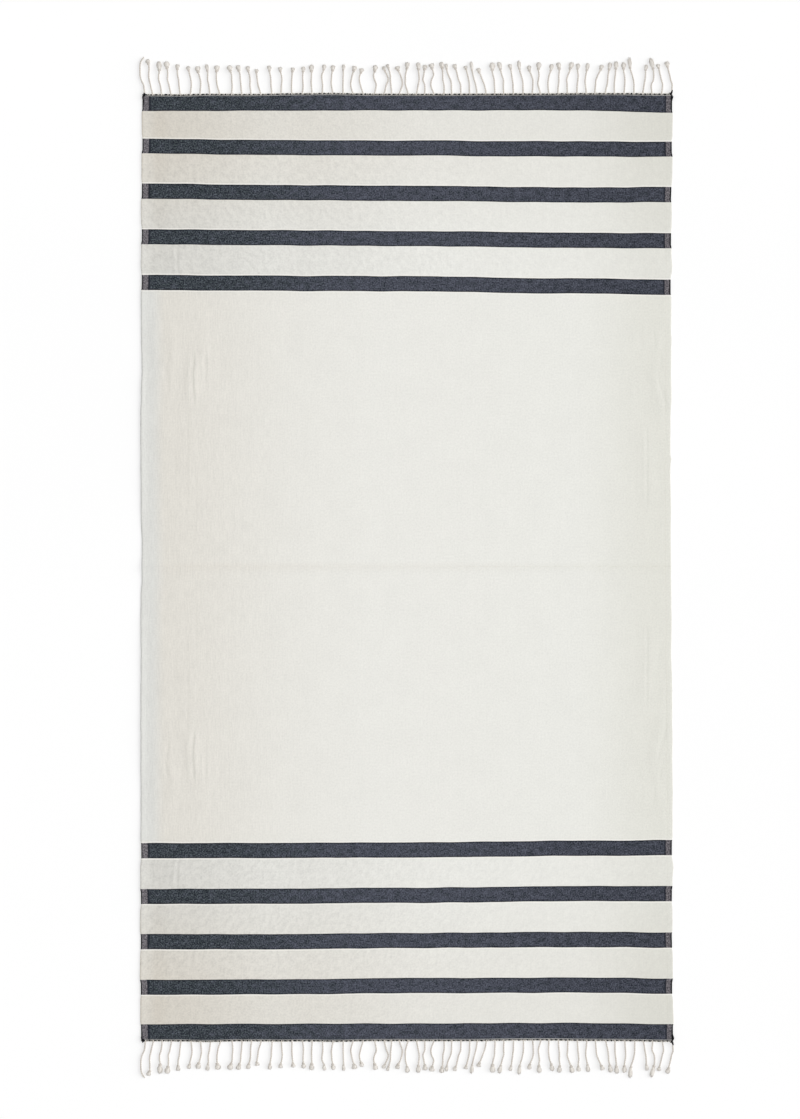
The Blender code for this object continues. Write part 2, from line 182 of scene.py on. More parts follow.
LOW_Y, MID_Y, HIGH_Y = 85, 80, 75
STRANDS = table(
    Strand,
    (144.5, 143.4, 141.1, 140, (140.4, 62.4), (143.6, 57.4), 0),
    (152.4, 150.3, 149.2, 148.7, (148.7, 65), (147, 59.3), 4.5),
    (161.3, 160.2, 158.6, 158.6, (159.2, 71.7), (158.6, 61), 5),
    (170.7, 169, 167.5, 167.5, (167.3, 69.3), (165.9, 61.2), 5.8),
    (179.9, 179, 178.5, 177.6, (177.2, 70.3), (177.2, 64.2), 4.4),
    (190.3, 191.2, 190.7, 189.5, (188.8, 71.5), (187.5, 66.1), 3.8),
    (199.9, 200.6, 200.2, 198.9, (198.3, 73.2), (196.9, 66.1), 5.5),
    (209.7, 208.6, 207.6, 207.5, (207.4, 71.7), (206.2, 64.2), 3.7),
    (219.6, 217, 216.4, 216.3, (216.5, 72.5), (217.2, 65.3), 5.6),
    (231.4, 232.2, 231.7, 231.3, (230.6, 72.3), (228.6, 65.3), 5.8),
    (241.5, 240.8, 240.3, 239.8, (239.2, 72), (237.3, 65.2), 5),
    (250.9, 249.8, 250, 249.4, (248.5, 72), (247.2, 66), 4.2),
    (260.6, 258, 257.4, 256.6, (256.2, 73.6), (256.7, 69.2), 4.3),
    (271.6, 270.9, 270.7, 270.2, (269.5, 72), (268.9, 65.4), 4.1),
    (280.9, 281.3, 281.7, 281.1, (280.3, 72), (279.8, 66.9), 4.2),
    (291.5, 291.2, 291.5, 292, (292.1, 72.6), (293, 67.5), 4.5),
    (302.2, 303, 302.7, 302.4, (302.8, 72.8), (303.1, 66.6), 4.3),
    (311.7, 311.2, 311.2, 311.3, (311.4, 72.5), (310.9, 64.5), 4.8),
    (322.2, 322.2, 321.8, 321.8, (323.4, 70.9), (324.1, 64.4), 3.8),
    (332.5, 331, 331.2, 331.6, (332.2, 71.9), (333.3, 65.1), 4.5),
    (342.8, 342.8, 342.9, 343.1, (343.1, 71), (343.5, 64.1), 3.2),
    (352.5, 350.5, 351.1, 352.2, (353.2, 71.9), (355, 65.9), 5.2),
    (362.7, 360.3, 359.1, 359.7, (360.3, 73.6), (361.9, 68.2), 4.4),
    (374.4, 376, 374.3, 373.5, (374.2, 72), (375.5, 65), 4.8),
    (384, 386.1, 388, 386.8, (384.9, 71.6), (382.5, 66.4), 3.4),
    (391.4, 390.7, 390.4, 390.2, (388.6, 69), (386.8, 64.3), 3),
    (399.1, 402, 401.7, 400.2, (398.5, 71.6), (396.4, 66.2), 4.8),
    (407.8, 405.4, 405.2, 405.4, (406.5, 69.5), (407.3, 62), 4.3),
    (416.4, 418.1, 419, 418.9, (418.1, 70.4), (418.2, 62.3), 4.6),
    (424.5, 424.4, 422.8, 423.6, (424.3, 70.7), (424.8, 64.7), 4.3),
    (433.6, 430.6, 431.3, 433.5, (432.2, 69.6), (430.9, 63.5), 5.6),
    (443.8, 443.9, 442.7, 442.5, (442, 69.2), (440.8, 62), 4.8),
    (451.4, 451.1, 450.2, 448.1, (446.4, 69.8), (445.8, 63.6), 3.2),
    (460.6, 460.3, 458.4, 457.2, (455.7, 69.5), (453.6, 64.1), 4.2),
    (469.3, 469.1, 468.5, 467.4, (466.1, 70.1), (465, 65.9), 3.8),
    (476.7, 475.5, 474, 472.7, (471.8, 71), (470.5, 61.3), 3.4),
    (485.9, 484.1, 482.2, 480.1, (479.1, 73.2), (477.8, 68), 4.2),
    (494.6, 494.3, 494, 492.8, (492, 71.3), (491.9, 62.3), 5.6),
    (503.4, 503, 503.2, 501.7, (500.5, 70.6), (498.6, 61.6), 4.2),
    (513, 512.8, 512.1, 511.4, (510.6, 70), (509.2, 64), 4),
    (522.8, 522.8, 522.2, 520.7, (519.3, 70), (518.3, 60.4), 3.9),
    (531.9, 532.7, 532.5, 531, (529.4, 71.6), (528.2, 65.5), 4.2),
    (540.2, 537.9, 538.3, 538.8, (538.3, 70.4), (539, 62), 4.8),
    (548.1, 547.8, 548.1, 549.1, (550.3, 71.6), (551.8, 63.8), 4),
    (557.6, 558.2, 558.6, 558.8, (559, 70), (558.2, 62.3), 4.5),
    (567, 566.9, 566.6, 568, (569.9, 69.8), (572, 62), 4.8),
    (576.5, 577.1, 577.7, 577.9, (577.4, 69.8), (578.3, 63.4), 4),
    (586, 585.2, 585, 585.6, (586.5, 71.2), (587.8, 62.9), 4),
    (594.5, 595.3, 595.9, 597.8, (599.9, 70.6), (602.1, 64.8), 4.5),
    (604.8, 606.8, 607.6, 607.9, (608.6, 70.6), (609.9, 62.2), 4.2),
    (614, 614.1, 614.5, 615, (615.4, 70), (616.1, 61.2), 4.5),
    (623.8, 624.6, 624.8, 624.1, (623.1, 70), (623.3, 62), 4.2),
    (633.7, 633.7, 633.2, 631.9, (629.9, 69), (629.1, 57.1), 4),
    (642.4, 643.9, 644.8, 645.1, (645.2, 71.2), (646.2, 64.4), 3.7),
    (651.5, 651.1, 653.1, 653.6, (653, 70), (650, 57.5), 4.4),
    (661.3, 662.2, 661.1, 660.1, (658.5, 69), (657.2, 64), 3.8),
    (671.2, 672, 670.5, 669.3, (667.6, 68.2), (666.1, 61.3), 4.6),
)


class Sag(NamedTuple):
    """How far the weft has strayed along Y, in millimetres, at one height of the flat cloth."""

    y: float
    left: float
    mid_left: float
    mid_right: float
    right: float


SAG_COLUMNS = (-0.490, -0.275, 0.0, 0.325, 0.488)  # the X of left, mid_left, the middle, mid_right, right
SAGS = table(
    Sag,
    (-0.893, 0, 0, 0, 0), (-0.8615, -1.5, -0.8, 1, -1.3), (-0.79, -2.9, -2.2, 1.3, -1.2),
    (-0.705, -2.4, -2.6, 1.8, 1), (-0.62, -2.5, -1.7, 3, 3), (-0.535, -1, -0.9, 3.4, 4.7),
    (0, 0, 0, 0, 0), (0.535, 2, 0.9, -3.9, -7.2), (0.62, 3.3, 1.7, -3.4, -3.8),
    (0.705, 4.2, 1.7, -3.2, -2.1), (0.79, 3.9, 1.5, -1.6, -1.9), (0.8615, -1, -0.7, 0.3, -4.4),
    (0.893, 0, 0, 0, 0),
)


class EndPoint(NamedTuple):
    """How many pixels of the photograph further out than END each end's edge row lies at one X."""

    pixel_x: float
    top: float
    bottom: float


END_LINES = table(
    EndPoint,
    (143, -0.4, 1), (182, -0.7, 1.2), (207, -0.2, 1.8), (232, -0.3, 1.1), (257, -0.3, 1.1),
    (282, 0.2, 1.3), (307, 0.4, 1.1), (332, 0.6, 1.6), (370, 0, 0.9), (432, -0.2, 0.9), (482, 0, 0.8),
    (507, 0.1, 0.3), (550, 0.2, 0.2), (582, 0.5, 0.6), (632, 0.4, 0.9), (660, 0, 1.5),
)


def blend(low, high, share):
    return low + (high - low) * share


def smoothed(share):
    """A soft step from 0 to 1."""
    share = min(max(share, 0.0), 1.0)
    return 0.5 - 0.5 * cos(pi * share)


def shares(steps):
    """From 0 to 1 in even steps."""
    return [i / steps for i in range(steps + 1)]


def hump(share):
    """1 in the middle, easing to 0 at a share of 1 either way."""
    return cos(pi / 2 * share) ** 2 if abs(share) < 1 else 0.0


def window(x, low, high, soft):
    """1 between low and high, easing to 0 over soft on either side."""
    return smoothed((x - low + soft) / soft) * smoothed((high + soft - x) / soft)


def ripple(x, y, scale_x, scale_y, seed):
    """Smooth noise from about -0.5 to 0.5, with features of these sizes; each use has its own seed."""
    return noise.noise(Vector((x / scale_x, y / scale_y, seed)))


def along_curve(spots, at):
    """The value at a place on the smooth curve through (place, value) spots."""
    at = min(max(at, spots[0][0]), spots[-1][0])
    slopes = []
    for i in range(len(spots)):
        (a, p), (b, q) = spots[max(i - 1, 0)], spots[min(i + 1, len(spots) - 1)]
        slopes.append((q - p) / (b - a))
    for i in range(len(spots) - 1):
        if at <= spots[i + 1][0]:
            break
    (a, p), (b, q) = spots[i], spots[i + 1]
    step, t = b - a, (at - a) / (b - a)
    return (p * (1 + 2 * t) * (1 - t) ** 2 + q * t * t * (3 - 2 * t)
            + step * t * (1 - t) * (slopes[i] * (1 - t) - slopes[i + 1] * t))


def bracket(rows, y):
    """The two rows of a table on either side of y, and how far between them it is, eased."""
    for low, high in zip(rows, rows[1:]):
        if y <= high.y:
            break
    return low, high, smoothed((y - low.y) / (high.y - low.y))


# The cloth's shape.

STRIPE_PULL = 1.6  # millimetres by which a stripe draws the selvedges in
STRIPE_PULL_SOFT = 0.012
RIGHT_BULGES = ((0.2036, 0.009), (0.574, 0.022), (-0.574, 0.022))  # their Y and half length
BULGE = 1.8  # millimetres by which the right selvedge stands out there
SELVEDGE_WANDER = 0.9  # millimetres
SAG_WANDER = 1.1  # millimetres
GROOVE_REACH = 0.040  # nothing of a groove is further from its first place than this
GROOVE_END = 0.012  # the length over which a groove fades out
GROOVE_WANDER = 0.0012


def in_stripes(y, soft):
    """Nearly 1 on the navy stripes and 0 off them."""
    t = (abs(y) - STRIPES_START) % STRIPE_PITCH
    return window(t, 0.0, STRIPE_WIDTH, soft) if abs(y) > STRIPES_START - soft else 0.0


def selvedge(y, side):
    """The X of the left (side -1) or right (side +1) selvedge at one height."""
    low, high, share = bracket(SELVEDGES, y)
    column = "left" if side < 0 else "right"
    out = blend(getattr(low, column), getattr(high, column), share)
    out -= STRIPE_PULL * in_stripes(y, STRIPE_PULL_SOFT)
    if side > 0:
        out += BULGE * sum(hump((y - middle) / reach) for middle, reach in RIGHT_BULGES)
    out += SELVEDGE_WANDER * ripple(side * 7.3, abs(y), 1.0, 0.035, 4.0)
    return side * (WIDTH / 2 + out * MM)


def sag(x, y):
    """How far the weft has strayed along Y at a place on the flat cloth."""
    low, high, share = bracket(SAGS, y)
    strays = [0.0 if not name else blend(getattr(low, name), getattr(high, name), share)
              for name in ("left", "mid_left", "", "mid_right", "right")]
    x = min(max(x, SAG_COLUMNS[0]), SAG_COLUMNS[-1])
    for i in range(len(strays) - 1):
        if x <= SAG_COLUMNS[i + 1]:
            break
    along = (x - SAG_COLUMNS[i]) / (SAG_COLUMNS[i + 1] - SAG_COLUMNS[i])
    wander = SAG_WANDER * ripple(x, y, 0.055, 0.120, 13.0) * window(abs(y), 0.30, END - 0.020, 0.016)
    return (blend(strays[i], strays[i + 1], smoothed(along)) + wander) * MM


def crease_lift(crease, x, y):
    turn = radians(crease.turn)
    dx, dy = x - crease.x, y - crease.y
    across = dx * cos(turn) - dy * sin(turn)
    along = dx * sin(turn) + dy * cos(turn)
    return crease.height * hump(across / crease.half_width) * hump(along / crease.half_length)


def on_surface(pixel_x, pixel_y):
    """The X and Y of a place in the photograph."""
    return (pixel_x - MIDDLE_X) * PIXEL, (MIDDLE_Y - pixel_y) * PIXEL


def end_stray(x, mirror):
    """How much further out than END the edge row lies at the top (mirror 1) or bottom (-1) end."""
    column = "top" if mirror > 0 else "bottom"
    spots = [(on_surface(spot.pixel_x, 0)[0], getattr(spot, column) * PIXEL) for spot in END_LINES]
    return along_curve(spots, x)


def fine_lift(x, up):
    """How much higher the cloth is for the thin grooves, which lie in a soft swell."""
    total = 0.0
    for crease in FINE_CREASES:
        spots = [on_surface(*place) for place in crease.places]
        top, low = spots[0][1], spots[-1][1]
        if not low < up < top or abs(x - spots[0][0]) > GROOVE_REACH:
            continue
        for (x0, y0), (x1, y1) in zip(spots, spots[1:]):
            if y1 <= up <= y0:
                wander = GROOVE_WANDER * ripple(spots[0][0], up, 1.0, 0.012, 12.0)
                middle = blend(x0, x1, (y0 - up) / (y0 - y1)) + wander
                ends = smoothed((top - up) / GROOVE_END) * smoothed((up - low) / GROOVE_END)
                side = (crease.gentle if x < middle else crease.steep) * MM
                shape = hump((x - middle) / SWELL) - hump((x - middle) / side)
                total += crease.depth * MM * ends * shape
    return total


class Zone(NamedTuple):
    """A part of the cloth's width, out to one height either way, with soft borders."""

    low: float
    high: float
    soft: float
    top: float

    def share(self, x, up):
        return window(x, self.low, self.high, self.soft) * window(up, -1.0, self.top, 0.05)


# Heights of the cloth's long low waves, and where they are.
LEFT_STREAKS, LEFT_STREAK = Zone(-0.52, -0.30, 0.12, 0.47), 0.00020
RIGHT_STREAKS, RIGHT_STREAK = Zone(0.40, 0.52, 0.06, 0.55), 0.00022
SLANTED_WAVES, SLANTED_WAVE = Zone(0.08, 0.34, 0.10, 0.10), 0.00045
DRAPE = 0.00035
CURL = 0.0015  # how far the left selvedge curls up, over CURL_WIDTH
CURL_WIDTH = 0.013


def lift(x, y):
    """How far the cloth's underside is off the surface."""
    up = abs(y)
    puckers = CREASE_GAIN * sum(crease_lift(crease, x, up) for crease in CREASES) + fine_lift(x, up)
    fold = FOLD_HEIGHT * hump(y / FOLD_HALF_WIDTH)
    streaks = LEFT_STREAKS.share(x, up) * max(0.0, 0.10 + ripple(x, up, 0.010, 0.070, 1.0)) * LEFT_STREAK
    streaks += RIGHT_STREAKS.share(x, up) * max(0.0, ripple(x, up, 0.012, 0.050, 2.0)) * RIGHT_STREAK
    drape = DRAPE * max(0.0, 0.4 + ripple(x, up, 0.060, 0.090, 3.0))
    waves = SLANTED_WAVES.share(x, up)
    waves *= SLANTED_WAVE * max(0.0, ripple(x + 0.45 * up, up - 0.4 * x, 0.030, 0.130, 5.0))
    curl = CURL * smoothed((-0.487 - x) / CURL_WIDTH) * (0.7 + ripple(0.3, up, 1.0, 0.12, 6.0))
    ends = smoothed((END - up) / 0.010)
    return puckers + fold + (streaks + drape + waves + curl) * ends


def stations(*marks_and_steps):
    """Places from the first mark to the last, evenly between marks: mark, step, mark, step, mark."""
    places = [marks_and_steps[0]]
    for step, mark in zip(marks_and_steps[1::2], marks_and_steps[2::2]):
        start = places[-1]
        count = max(1, ceil((mark - start) / step - 1e-6))
        places += [blend(start, mark, share) for share in shares(count)[1:]]
    return places


# Where the mesh of the cloth has its columns: finer at its grooves.
CLOTH_COLUMNS = stations(
    -WIDTH / 2, 0.0035, -0.475, 0.00175, -0.412, 0.0011, -0.394, 0.00175, -0.370, 0.004, -0.330, 0.010,
    0.400, 0.0040, 0.438, 0.0015, 0.494, 0.0026, WIDTH / 2)
ROW_STEPS = (0.0045, 0.0082)  # in the fold across the middle, and beyond it
RIM_STEPS = (0.0003, 0.0009)  # how far in from the rim the cloth's roundness has its extra points
RIM = 0.35  # the share of its thickness that the cloth has at its rim
RIM_UNDER = 0.35  # the share of what the rim lacks that it lacks from below


def round_off(inward):
    """The share of its thickness that the cloth has this far in from its rim."""
    share = min(inward / THICKNESS, 1.0)
    return RIM + (1 - RIM) * sqrt(1.0 - (1.0 - share) ** 2)


def inset(share):
    """A share of the bake map's side, kept just off its rim."""
    return share * 0.998 + 0.001


def add_object(name, data):
    thing = bpy.data.objects.new(name, data)
    bpy.context.collection.objects.link(thing)
    return thing


class Mesh:
    """Collects a mesh's points, its faces, and each face corner's places on its two maps."""

    def __init__(self):
        self.points, self.faces, self.kinds = [], [], []
        self.pattern, self.bake = [], []

    def face(self, corners, pattern, bake, kind=0):
        self.faces.append(corners)
        self.pattern += pattern
        self.bake += bake
        self.kinds.append(kind)

    def skin(self, rings, alongs, region, kind=0, inside_out=False):
        """A closed skin over rings of points.

        alongs are the rings' places on the pattern, and region is what the skin fills of the bake map:
        left, low, right, top.
        """
        first, sides = len(self.points), len(rings[0])
        for ring in rings:
            self.points += ring
        x0, y0, x1, y1 = region
        total = max(alongs[-1] - alongs[0], 1e-9)

        def add(cells, reverse):
            if reverse:
                cells = cells[::-1]
            pattern = [(alongs[i], k / sides) for i, k in cells]
            bake = [(blend(x0, x1, (x - alongs[0]) / total), blend(y0, y1, y)) for x, y in pattern]
            self.face([first + i * sides + k % sides for i, k in cells], pattern, bake, kind)

        for i in range(len(rings) - 1):
            for k in range(sides):
                add([(i, k), (i, k + 1), (i + 1, k + 1), (i + 1, k)], inside_out)
        add([(0, k) for k in range(sides)], not inside_out)
        add([(len(rings) - 1, k) for k in range(sides)], inside_out)

    def build(self, name, *materials):
        data = bpy.data.meshes.new(name)
        data.from_pydata(self.points, [], self.faces)
        for layer, places in (("pattern", self.pattern), ("OFBake", self.bake)):
            uv = data.uv_layers.new(name=layer)
            uv.data.foreach_set("uv", [number for place in places for number in place])
        data.polygons.foreach_set("material_index", self.kinds)
        data.polygons.foreach_set("use_smooth", [True] * len(self.faces))
        for material in materials:
            data.materials.append(material)
        return add_object(name, data)


def make_cloth(material):
    """The woven panel as a thick sheet with rounded rims; both faces share one map."""
    half, end = WIDTH / 2, END - EDGE_ROW - GAP
    left_rim, right_rim = [-half + r for r in RIM_STEPS], [half - r for r in RIM_STEPS[::-1]]
    columns = CLOTH_COLUMNS[:1] + left_rim + CLOTH_COLUMNS[1:-1] + right_rim + CLOTH_COLUMNS[-1:]
    rows = stations(0.0, ROW_STEPS[0], FOLD_HALF_WIDTH, ROW_STEPS[1], end)
    rows = rows[:-1] + [end - r for r in RIM_STEPS[::-1]] + rows[-1:]
    rows = [-y for y in reversed(rows[1:])] + rows
    mesh = Mesh()
    wide, tall = len(columns), len(rows)
    low_points, high_points = [], []
    for y in rows:
        left, right = selvedge(y, -1), selvedge(y, 1)
        side = 1 if y > 0 else -1
        near_end = smoothed((abs(y) - LAST_START) / (end - LAST_START))
        for x in columns:
            at_x = blend(left, right, (x + half) / WIDTH)
            stray = side * near_end * end_stray(at_x, side) if near_end else 0.0
            at = (at_x, y + sag(x, y) + stray)
            under = lift(*at)
            rim = round_off(min(x + half, half - x, end - abs(y)))
            low_points.append((*at, under + THICKNESS * (1 - rim) * RIM_UNDER))
            high_points.append((*at, under + THICKNESS * rim))
    mesh.points = high_points + low_points
    under = len(high_points)

    def maps(cells):
        pattern = [(columns[c], rows[r]) for r, c in cells]
        return pattern, [(inset((x + half) / WIDTH), inset(y / end * 0.5 + 0.5)) for x, y in pattern]

    for r in range(tall - 1):
        for c in range(wide - 1):
            cells = [(r, c), (r, c + 1), (r + 1, c + 1), (r + 1, c)]
            corners = [a * wide + b for a, b in cells]
            mesh.face(corners, *maps(cells))
            mesh.face([under + i for i in reversed(corners)], *maps(cells[::-1]))
    rim = [(0, c) for c in range(wide)] + [(r, wide - 1) for r in range(1, tall)]
    rim += [(tall - 1, c) for c in range(wide - 2, -1, -1)] + [(r, 0) for r in range(tall - 2, 0, -1)]
    for a, b in zip(rim, rim[1:] + rim[:1]):
        i, j = a[0] * wide + a[1], b[0] * wide + b[1]
        mesh.face([i, under + i, under + j, j], *maps([a, a, b, b]))
    return mesh.build("towel_cloth_woven", material)


# Cords and yarns.


def frames_along(path):
    """A sideways and an upward direction at each point of a path, turning as little as they can."""
    found = []
    up = Vector((0, 0, 1))
    for i in range(len(path)):
        ahead = (path[min(i + 1, len(path) - 1)] - path[max(i - 1, 0)]).normalized()
        if abs(ahead.dot(up)) > 0.98:
            up = Vector((1, 0, 0))
        side = ahead.cross(up).normalized()
        up = side.cross(ahead).normalized()
        found.append((side, up))
    return found


def lengths_along(path):
    """How far along the path each of its points is."""
    lengths = [0.0]
    for a, b in zip(path, path[1:]):
        lengths.append(lengths[-1] + (b - a).length)
    return lengths


def towards(frame, angle):
    """The direction at an angle in a frame's plane, from its side to its up."""
    return frame[0] * cos(angle) + frame[1] * sin(angle)


def circle(sides):
    return [2 * pi * k / sides for k in range(sides)]


def tube(mesh, path, radii, region, sides=6, kind=0, offset=0.0):
    """A closed tube round a path, its map laid over region: left, low, right, top."""
    rings = [[point + towards(frame, angle) * radius for angle in circle(sides)]
             for point, frame, radius in zip(path, frames_along(path), radii)]
    mesh.skin(rings, [length + offset for length in lengths_along(path)], region, kind)


PLY_PLACE, PLY_RADIUS = 0.47, 0.55  # of a two-ply cord's radius


def twisted(mesh, path, radius, pitch, phase, region, sides=6, offset=0.0):
    """Two plies twisted round a path; together they are 2 * radius wide."""
    x0, y0, x1, y1 = region
    middle = (y0 + y1) / 2
    for ply, (low, high) in enumerate(((y0, middle), (middle, y1))):
        centres = [point + towards(frame, phase + pi * ply + 2 * pi * run / pitch) * radius * PLY_PLACE
                   for point, frame, run in zip(path, frames_along(path), lengths_along(path))]
        radii = [radius * PLY_RADIUS] * len(centres)
        tube(mesh, centres, radii, (x0, low, x1, high), sides, offset=offset + ply * 0.5)


CORD_RADIUS = 0.0016
TWIST_PITCH = 0.0068
CORD_STEP = 0.00095
CORD_START = -0.0022  # inside the edge row
KNOT_FROM_NECK = 0.0026
KNOT_LENGTH = 0.0042
KNOT_RADIUS = 0.0021  # from the knot's middle to the middle of the cord wrapped round it
KNOT_HEIGHT = 0.0016  # how far a strand rises to its knot
KNOT_TURNS = 2.2
KNOT_FLATNESS = 0.84  # its height to its width
KNOT_STEPS = 30
KNOT_PITCH = 0.0062
WHOLE_KNOT = 0.0088  # width of the tuft beyond a knot of full size
TUFT_YARNS = 30
TUFT_HEIGHT = 0.0019  # of its middle over the surface, and as much again over that
TUFT_TAPER = (1.0, 1.1, 1.1, 1.0, 0.85, 0.45)
CORES = ((-0.30, -0.2), (0.30, -0.2), (0.0, 0.1))  # a tuft's three thick cores: to the side and up
STRANDS_ASIDE = 0.0004  # how far to the right of their measured places the strands lie
BOTTOM_SPREAD = 0.0034  # and how much further at the bottom end, for each metre from the middle
BOTTOM_STRAY = 0.0023  # how much further out the bottom tufts lie than a mirror image of the top ones


class Route:
    """A strand's middle line over the surface."""

    def __init__(self, strand, number, mirror):
        self.number, self.mirror = number, mirror
        spots = ((strand.low, LOW_Y), (strand.mid, MID_Y), (strand.high, HIGH_Y), strand.neck, strand.tip)
        # How far out from the edge row the strand was measured, and its X there.
        self.spots = [(0.0, on_surface(strand.root, 0)[0])]
        self.spots += [(y - END, x) for x, y in (on_surface(*spot) for spot in spots)]
        self.root_stray, self.tip_stray = end_stray(self.spots[0][1], mirror), 0.0
        self.aside = STRANDS_ASIDE
        if mirror < 0:
            self.tip_stray = BOTTOM_STRAY
            self.aside += BOTTOM_SPREAD * abs(self.spots[0][1])
        self.neck, self.tip = self.spots[-2][0], self.spots[-1][0]
        self.width = strand.tuft * PIXEL
        self.size = min(max(self.width / WHOLE_KNOT, 0.72), 1.06)
        self.knot = self.neck + KNOT_FROM_NECK * self.size

    def point(self, along):
        """A point of the middle line, that far out from the edge row."""
        x = along_curve(self.spots, along) + self.aside
        x += 0.0005 * ripple(self.number * 3.7, along, 1.0, 0.014, 8.0) * smoothed(along / 0.012)
        rise = 0.0002 + 0.0009 * hump((along - 0.002) / 0.010)
        if self.width:
            rise = max(rise, KNOT_HEIGHT * self.size * smoothed(1 - abs(along - self.knot) / 0.012))
        out = END + along + blend(self.root_stray, self.tip_stray, smoothed(along / 0.04))
        return Vector((x, self.mirror * out, CORD_RADIUS + rise - 0.00005))

    def heading(self, along):
        """The directions ahead, to the side and up at a place, ahead being level."""
        return level_frame(self.point(along + 0.001) - self.point(along - 0.001))


def level_frame(ahead):
    """The directions ahead, to the side and up, from a vector whose rise is left out."""
    ahead = Vector((ahead.x, ahead.y, 0.0)).normalized()
    side = ahead.cross(Vector((0, 0, 1)))
    return ahead, side, side.cross(ahead)


def tie_knot(mesh, route, draw, region):
    """The cord's wraps round itself, as an overhand knot pulled tight."""
    centre = route.point(route.knot)
    ahead, side, up = route.heading(route.knot)
    size = route.size * draw.uniform(0.95, 1.08)
    turn, hand = draw.uniform(0, 2 * pi), draw.choice((-1, 1))
    tilt = draw.uniform(-0.0009, 0.0009)
    cord = CORD_RADIUS * 0.86 * size
    path = []
    for share in shares(KNOT_STEPS):
        angle = turn + hand * 2 * pi * KNOT_TURNS * share
        reach = KNOT_RADIUS * size * (0.62 + 0.38 * sin(pi * share))
        along = (share - 0.5) * KNOT_LENGTH * size + tilt * cos(angle)
        round_it = side * cos(angle) * reach + up * sin(angle) * reach * KNOT_FLATNESS
        path.append(centre + ahead * along + round_it)
    drop = min(p.z for p in path) - cord
    for p in path:
        p.z -= drop
    twisted(mesh, path, cord, KNOT_PITCH, turn, region, sides=5, offset=route.number * 1.7)


def fray(mesh, route, draw, region):
    """The loose yarns beyond the knot: a bud that opens towards its tip and rests on the surface."""
    base, tip = route.point(route.knot + 0.0008), route.point(route.tip)
    length = (tip - base).xy.length
    ahead, side, _ = level_frame(tip - base)
    half = route.width / 2
    high = TUFT_HEIGHT * route.size
    x0, y0, x1, y1 = region

    def yarn(spread, height, reach, thick, sides, low, top, wander=0.0):
        """One yarn, which leaves the knot off its middle and opens out to its own place in the tuft.

        low and top are its shares of the region.
        """
        path = []
        for share in shares(len(TUFT_TAPER) - 1):
            open_out = blend(0.50, 1.0, smoothed(share * 1.9)) - 0.26 * max(0.0, share - 0.75) / 0.25
            p = base + ahead * reach * share
            p += side * (spread * half * open_out + wander * share * share)
            middle = blend(base.z, high, smoothed(share * 1.3))
            p.z = max(thick * 1.1, middle + height * high * blend(0.8, 0.85, share))
            path.append(p)
        radii = [thick * r for r in TUFT_TAPER]
        strip = (x0, blend(y0, y1, low), x1, blend(y0, y1, top))
        tube(mesh, path, radii, strip, sides, kind=1, offset=route.number + low)

    for spread, height in CORES:
        yarn(spread, height, length * 0.90, half * 0.43, 6, 0.90 + 0.03 * spread, 0.93 + 0.03 * spread)
    for i in range(TUFT_YARNS):
        angle = 2 * pi * (i + draw.uniform(-0.4, 0.4)) / TUFT_YARNS * 3
        out = sqrt(draw.uniform(0.25, 1.0)) if i % 3 else draw.uniform(0.85, 1.08)
        reach = length * draw.uniform(0.86, 1.04) * (1.0 - 0.18 * out * out * abs(cos(angle)))
        thick, wander = draw.uniform(0.00046, 0.00064), draw.uniform(-0.0011, 0.0011)
        low, top = i / TUFT_YARNS * 0.88, (i + 0.9) / TUFT_YARNS * 0.88
        yarn(cos(angle) * out, sin(angle) * out, reach, thick, 3, low, top, wander)


def fringe_strip(number, low, top):
    """A strand's own strip of the bake map, from one share of it to another."""
    return 0.002, (number + 0.94 * low) / len(STRANDS), 0.998, (number + 0.94 * top) / len(STRANDS)


def make_fringe(name, mirror, cord, tuft):
    draw = random.Random(SEED + mirror)
    mesh = Mesh()
    for number, strand in enumerate(STRANDS):
        route = Route(strand, number, mirror)
        end = route.knot if route.width else route.tip
        steps = max(2, round((end - CORD_START) / CORD_STEP))
        path = [route.point(blend(CORD_START, end, share)) for share in shares(steps)]
        phase = draw.uniform(0, 2 * pi)
        region = fringe_strip(number, 0.0, 0.4)
        twisted(mesh, path, CORD_RADIUS, TWIST_PITCH, phase, region, offset=number * 1.3)
        if route.width:
            tie_knot(mesh, route, draw, fringe_strip(number, 0.42, 0.68))
            fray(mesh, route, draw, fringe_strip(number, 0.7, 1.0))
    return mesh.build(name, cord, tuft)


WHIP_PITCH = 0.0044
WHIP_RADIUS = 0.00080
WHIP_TAPER = (0.85, 1.0, 1.1, 1.05, 0.95, 0.85, 0.75, 0.65, 0.5)
WHIP_MARGIN = 0.002  # free of wraps at either selvedge
STITCH_PITCH = 0.0088
STITCH_TAPER = ((-1.0, 0.5), (-0.6, 0.9), (0.0, 1.0), (0.6, 0.9), (1.0, 0.5))  # along a stitch, and its share
STITCH_MARGIN = 0.004
STITCH_TOP = 0.00235
ROLL_SIDES = 9
ROLL_MIDDLE, ROLL_RADIUS = 0.0009, 0.00088  # upwards


